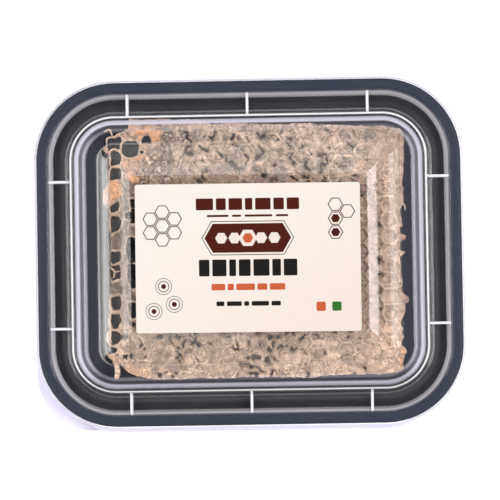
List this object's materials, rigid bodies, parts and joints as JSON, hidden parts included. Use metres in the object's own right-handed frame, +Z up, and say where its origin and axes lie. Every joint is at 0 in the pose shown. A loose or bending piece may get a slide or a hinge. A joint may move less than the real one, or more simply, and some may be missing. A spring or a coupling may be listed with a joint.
{
  "type": "packed honeycomb",
  "caption": "Block of cut honeycomb in a black rectangular food tray, closed by a clear push-on lid with a raised panel that carries a paper label.",
  "frame": {"origin": "middle of the footprint, on the surface that the tray's foot stands on", "axes": "+X along the long side, +Y along the short side towards the label's upper edge, +Z up"},
  "size_m": [0.1396, 0.1136, 0.0432],
  "materials": {
    "tray_plastic": "black moulded polypropylene, satin",
    "lid_plastic": "clear moulded plastic, glossy",
    "label_paper": "coated label paper, cream, printed",
    "comb_wax": "beeswax cappings over honey, waxy"
  },
  "bodies": {
    "root": {"tray": "tray_plastic", "lid": "lid_plastic", "label": "label_paper", "comb": "comb_wax"}
  },
  "joints": []
}
